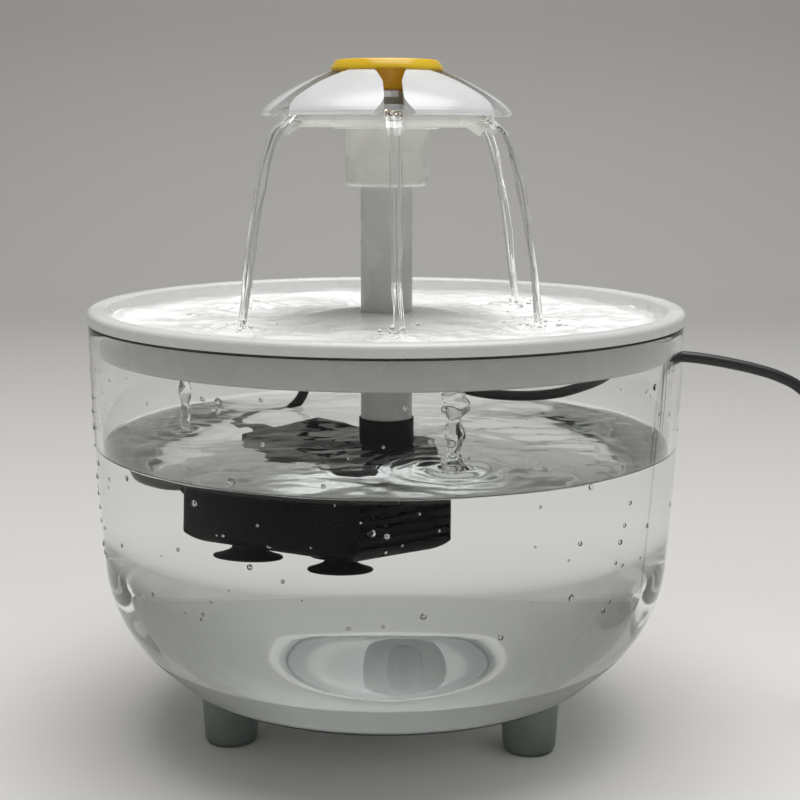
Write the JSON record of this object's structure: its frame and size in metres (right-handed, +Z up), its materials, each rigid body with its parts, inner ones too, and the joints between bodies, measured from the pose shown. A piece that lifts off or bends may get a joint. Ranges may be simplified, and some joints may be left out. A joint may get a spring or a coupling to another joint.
{
  "type": "pet water fountain",
  "caption": "Clear bowl-bottomed tank on short legs, a white drinking tray as its lid, and a submerged pump that feeds a flower-shaped spout through a tube.",
  "frame": {"origin": "on the floor under the middle of the tank", "axes": "+Z up; +X towards the slot in the rim where the lead leaves; the front, with two legs, faces -Y"},
  "size_m": [0.2617, 0.165, 0.187],
  "materials": {
    "clear_wall": "clear moulded plastic, polished",
    "leg_plastic": "matte grey-green soft plastic",
    "white_plastic": "glossy white moulding",
    "tube_plastic": "translucent white tube",
    "milky_plastic": "milky translucent moulding",
    "petal_plastic": "glossy white petals",
    "yellow_plastic": "glossy yellow moulding",
    "pump_plastic": "satin black moulding",
    "impeller_plastic": "grey nylon",
    "magnet": "dark sintered ferrite",
    "ceramic": "ground white ceramic",
    "black_rubber": "soft black rubber",
    "core_steel": "stacked steel plates",
    "copper_wire": "enamelled copper winding",
    "board": "green lacquered circuit board",
    "cord_jacket": "satin black cable jacket",
    "tie_fabric": "black hook-and-loop tape",
    "plug_metal": "plated steel shell"
  },
  "bodies": {
    "root": {"tank": "clear_wall", "leg_front_left": "leg_plastic", "leg_front_right": "leg_plastic", "leg_rear": "leg_plastic", "power_cord": "cord_jacket", "cord_coil": "cord_jacket", "cord_tail": "cord_jacket", "cord_tie": "tie_fabric", "plug_grip": "pump_plastic", "plug_shell": "plug_metal", "plug_tongue": "white_plastic"},
    "lid": {"tray": "white_plastic", "riser_tube": "tube_plastic", "lead_run": "cord_jacket"},
    "flower": {"flower_collar": "milky_plastic", "spout_saucer": "milky_plastic", "petal_cap": "petal_plastic"},
    "heart": {"flower_heart": "yellow_plastic"},
    "pump": {"pump_housing": "pump_plastic", "pump_head": "pump_plastic", "pump_rear_cover": "pump_plastic", "rotor_shaft": "ceramic", "shaft_bush_front": "black_rubber", "shaft_bush_rear": "black_rubber", "stator_core": "core_steel", "stator_coil": "copper_wire", "driver_board": "board", "suction_cup_front": "black_rubber", "suction_cup_rear": "black_rubber", "suction_cup_side": "black_rubber", "pump_gland": "black_rubber", "lead_rise": "cord_jacket"},
    "cover": {"intake_cover": "pump_plastic"},
    "rotor": {"impeller": "impeller_plastic", "rotor_magnet": "magnet"}
  },
  "joints": [
    {"name": "lid_lift", "type": "slide", "parent": "root", "child": "lid", "axis": [0, 0, 1], "range_m": [0, 0.09], "deforming": ["lead_run"]},
    {"name": "flower_lift", "type": "slide", "parent": "lid", "child": "flower", "axis": [0, 0, 1], "range_m": [0, 0.03]},
    {"name": "heart_lift", "type": "slide", "parent": "flower", "child": "heart", "axis": [0, 0, 1], "range_m": [0, 0.012]},
    {"name": "pump_pull", "type": "slide", "parent": "lid", "child": "pump", "axis": [0, 0, -1], "range_m": [0, 0.012], "deforming": ["lead_rise"]},
    {"name": "cover_pull", "type": "slide", "parent": "pump", "child": "cover", "axis": [0.7547, -0.6561, 0], "range_m": [0, 0.02]},
    {"name": "rotor_spin", "type": "hinge", "parent": "pump", "child": "rotor", "pos_m": [-0.00426, -0.00491, 0.0685], "axis": [-0.7547, 0.6561, 0], "continuous": true}
  ]
}
